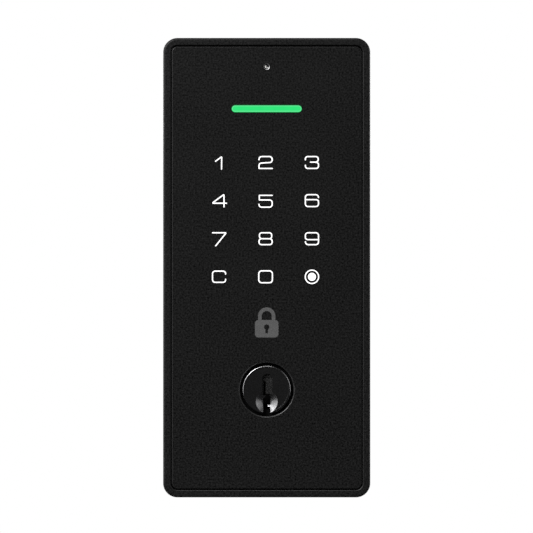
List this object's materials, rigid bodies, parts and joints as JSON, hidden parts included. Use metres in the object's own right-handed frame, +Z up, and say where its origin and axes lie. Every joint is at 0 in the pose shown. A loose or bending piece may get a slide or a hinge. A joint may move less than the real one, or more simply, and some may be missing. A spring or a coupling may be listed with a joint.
{
  "type": "keypad smart lock outside unit",
  "caption": "Outside unit of a keypad smart lock: slim black housing, backlit touch keys, status light bar, key cylinder with tailpiece, threaded mounting posts.",
  "frame": {"origin": "axis of the key cylinder in the plane of the door face, which is the centre of the door bore", "axes": "+X to the right and +Z up as seen from outside the door, +Y into the door"},
  "size_m": [0.0654, 0.0746, 0.1448],
  "materials": {
    "black_coat": "fine satin powder coat",
    "black_panel": "satin, faintly grained",
    "green_light": "lit diffuser",
    "smoked_lens": "polished",
    "white_plastic": "moulded",
    "film": "printed film",
    "foam_tape": "matte foam",
    "circuit_board": "solder mask",
    "chip": "moulded epoxy",
    "tin_shield": "tinned",
    "zinc_steel": "zinc plated",
    "black_steel": "black oxide",
    "rubber": "matte",
    "black_brass": "black plated, satin",
    "raw_brass": "machined",
    "nickel_silver": "machined",
    "spring_bronze": "drawn wire"
  },
  "bodies": {
    "unit": {"front_housing": "black_coat", "touch_panel": "black_panel", "panel_adhesive": "foam_tape", "cylinder_seal": "foam_tape", "touch_film": "film", "key_light_guide": "white_plastic", "status_light_bar": "green_light", "sensor_lens": "smoked_lens", "keypad_board": "circuit_board", "controller_chip": "chip", "radio_module": "tin_shield", "cable_header": "white_plastic", "sounder": "chip", "back_plate": "zinc_steel", "door_gasket": "rubber", "cable_grommet": "rubber", "mounting_post_left": "zinc_steel", "mounting_post_right": "zinc_steel", "cylinder_body": "black_brass", "chamber_cover": "raw_brass", "cylinder_clip": "zinc_steel", "clip_screw_left": "zinc_steel", "clip_screw_right": "zinc_steel", "board_screw_1": "zinc_steel", "board_screw_2": "zinc_steel", "board_screw_3": "zinc_steel", "board_screw_4": "zinc_steel", "back_plate_screw_1": "black_steel", "back_plate_screw_2": "black_steel", "back_plate_screw_3": "black_steel", "back_plate_screw_4": "black_steel", "back_plate_screw_5": "black_steel", "back_plate_screw_6": "black_steel"},
    "plug": {"cylinder_plug": "black_brass", "plug_cap": "raw_brass", "tailpiece": "zinc_steel"},
    "key_pin_1": {"key_pin_1": "raw_brass"},
    "driver_pin_1": {"driver_pin_1": "nickel_silver", "pin_spring_1": "spring_bronze"},
    "key_pin_2": {"key_pin_2": "raw_brass"},
    "driver_pin_2": {"driver_pin_2": "nickel_silver", "pin_spring_2": "spring_bronze"},
    "key_pin_3": {"key_pin_3": "raw_brass"},
    "driver_pin_3": {"driver_pin_3": "nickel_silver", "pin_spring_3": "spring_bronze"},
    "key_pin_4": {"key_pin_4": "raw_brass"},
    "driver_pin_4": {"driver_pin_4": "nickel_silver", "pin_spring_4": "spring_bronze"},
    "key_pin_5": {"key_pin_5": "raw_brass"},
    "driver_pin_5": {"driver_pin_5": "nickel_silver", "pin_spring_5": "spring_bronze"}
  },
  "joints": [
    {"name": "plug_turn", "type": "hinge", "parent": "unit", "child": "plug", "pos_m": [0, -0.0226, 0], "axis": [0, 1, 0], "range_deg": [-90, 90]},
    {"name": "key_pin_1_lift", "type": "slide", "parent": "plug", "child": "key_pin_1", "axis": [0, 0, 1], "range_m": [0, 0.00172]},
    {"name": "driver_pin_1_lift", "type": "slide", "parent": "unit", "child": "driver_pin_1", "axis": [0, 0, 1], "range_m": [0, 0.0028], "stiffness_N_per_m": 60, "springref_m": -0.002, "deforming": ["pin_spring_1"]},
    {"name": "key_pin_2_lift", "type": "slide", "parent": "plug", "child": "key_pin_2", "axis": [0, 0, 1], "range_m": [0, 0.00272]},
    {"name": "driver_pin_2_lift", "type": "slide", "parent": "unit", "child": "driver_pin_2", "axis": [0, 0, 1], "range_m": [0, 0.0028], "stiffness_N_per_m": 60, "springref_m": -0.002, "deforming": ["pin_spring_2"]},
    {"name": "key_pin_3_lift", "type": "slide", "parent": "plug", "child": "key_pin_3", "axis": [0, 0, 1], "range_m": [0, 0.00132]},
    {"name": "driver_pin_3_lift", "type": "slide", "parent": "unit", "child": "driver_pin_3", "axis": [0, 0, 1], "range_m": [0, 0.0028], "stiffness_N_per_m": 60, "springref_m": -0.002, "deforming": ["pin_spring_3"]},
    {"name": "key_pin_4_lift", "type": "slide", "parent": "plug", "child": "key_pin_4", "axis": [0, 0, 1], "range_m": [0, 0.00232]},
    {"name": "driver_pin_4_lift", "type": "slide", "parent": "unit", "child": "driver_pin_4", "axis": [0, 0, 1], "range_m": [0, 0.0028], "stiffness_N_per_m": 60, "springref_m": -0.002, "deforming": ["pin_spring_4"]},
    {"name": "key_pin_5_lift", "type": "slide", "parent": "plug", "child": "key_pin_5", "axis": [0, 0, 1], "range_m": [0, 0.00302]},
    {"name": "driver_pin_5_lift", "type": "slide", "parent": "unit", "child": "driver_pin_5", "axis": [0, 0, 1], "range_m": [0, 0.0028], "stiffness_N_per_m": 60, "springref_m": -0.002, "deforming": ["pin_spring_5"]}
  ]
}
